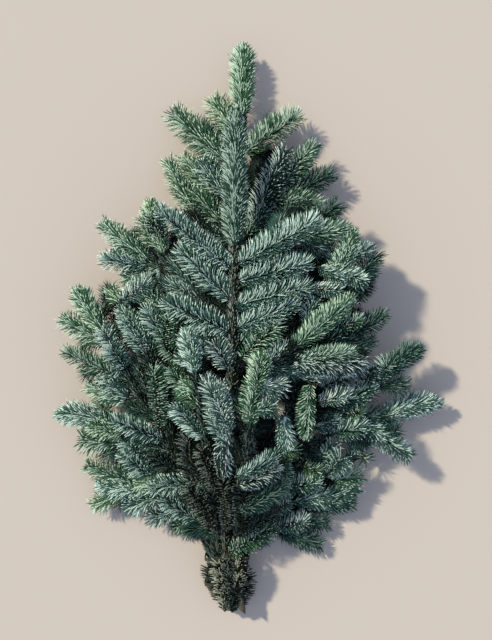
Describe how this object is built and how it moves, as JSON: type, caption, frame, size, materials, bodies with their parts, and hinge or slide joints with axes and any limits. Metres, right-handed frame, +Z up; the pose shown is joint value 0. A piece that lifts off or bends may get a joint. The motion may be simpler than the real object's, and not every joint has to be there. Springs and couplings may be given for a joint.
{
  "type": "bunch of cut fir boughs",
  "caption": "Flat tree-shaped bunch of cut fir boughs, tied at the foot and lying down, for greenery and Christmas decoration.",
  "frame": {"origin": "middle of the underside of the bunch's box, on the surface it lies on", "axes": "+Y from the cut ends towards the tip of the longest bough, +Z up from the surface, +X to the right seen from above"},
  "size_m": [0.5424, 0.786, 0.1344],
  "materials": {
    "needles": "waxy blue-green needles with paler bands",
    "bark": "matt olive-brown bark",
    "tie": "matt pale binding cord"
  },
  "bodies": {
    "root": {"foot_left_needles": "needles", "foot_right_needles": "needles", "foot_top_needles": "needles", "left_foot_leader_needles": "needles", "left_foot_left_low_needles": "needles", "left_foot_left_needles": "needles", "left_foot_right_needles": "needles", "left_foot_stem": "bark", "left_high_leader_needles": "needles", "left_high_left_mid_needles": "needles", "left_high_left_tip_needles": "needles", "left_high_stem": "bark", "left_low_leader_needles": "needles", "left_low_left_tip_needles": "needles", "left_low_right_low_needles": "needles", "left_low_right_tip_needles": "needles", "left_low_stem": "bark", "left_mid_leader_needles": "needles", "left_mid_left_low_needles": "needles", "left_mid_left_tip_needles": "needles", "left_mid_right_needles": "needles", "left_mid_stem": "bark", "main_leader_needles": "needles", "main_left_low_needles": "needles", "main_left_tip_needles": "needles", "main_right_low_needles": "needles", "main_right_tip_needles": "needles", "main_stem": "bark", "right_foot_leader_needles": "needles", "right_foot_right_low_needles": "needles", "right_foot_stem": "bark", "right_high_leader_needles": "needles", "right_high_right_tip_needles": "needles", "right_high_stem": "bark", "right_low_leader_needles": "needles", "right_low_left_tip_needles": "needles", "right_low_right_tip_needles": "needles", "right_low_stem": "bark", "right_mid_leader_needles": "needles", "right_mid_left_low_needles": "needles", "right_mid_left_tip_needles": "needles", "right_mid_right_tip_needles": "needles", "right_mid_stem": "bark", "tie_lower": "tie", "tie_upper": "tie", "top_left_leader_needles": "needles", "top_left_stem": "bark", "top_right_leader_needles": "needles", "top_right_left_needles": "needles", "top_right_right_low_needles": "needles", "top_right_right_needles": "needles", "top_right_stem": "bark", "upper_leader_needles": "needles", "upper_left_low_needles": "needles", "upper_left_tip_needles": "needles", "upper_right_low_needles": "needles", "upper_right_mid_needles": "needles", "upper_right_tip_needles": "needles", "upper_stem": "bark"}
  },
  "joints": []
}
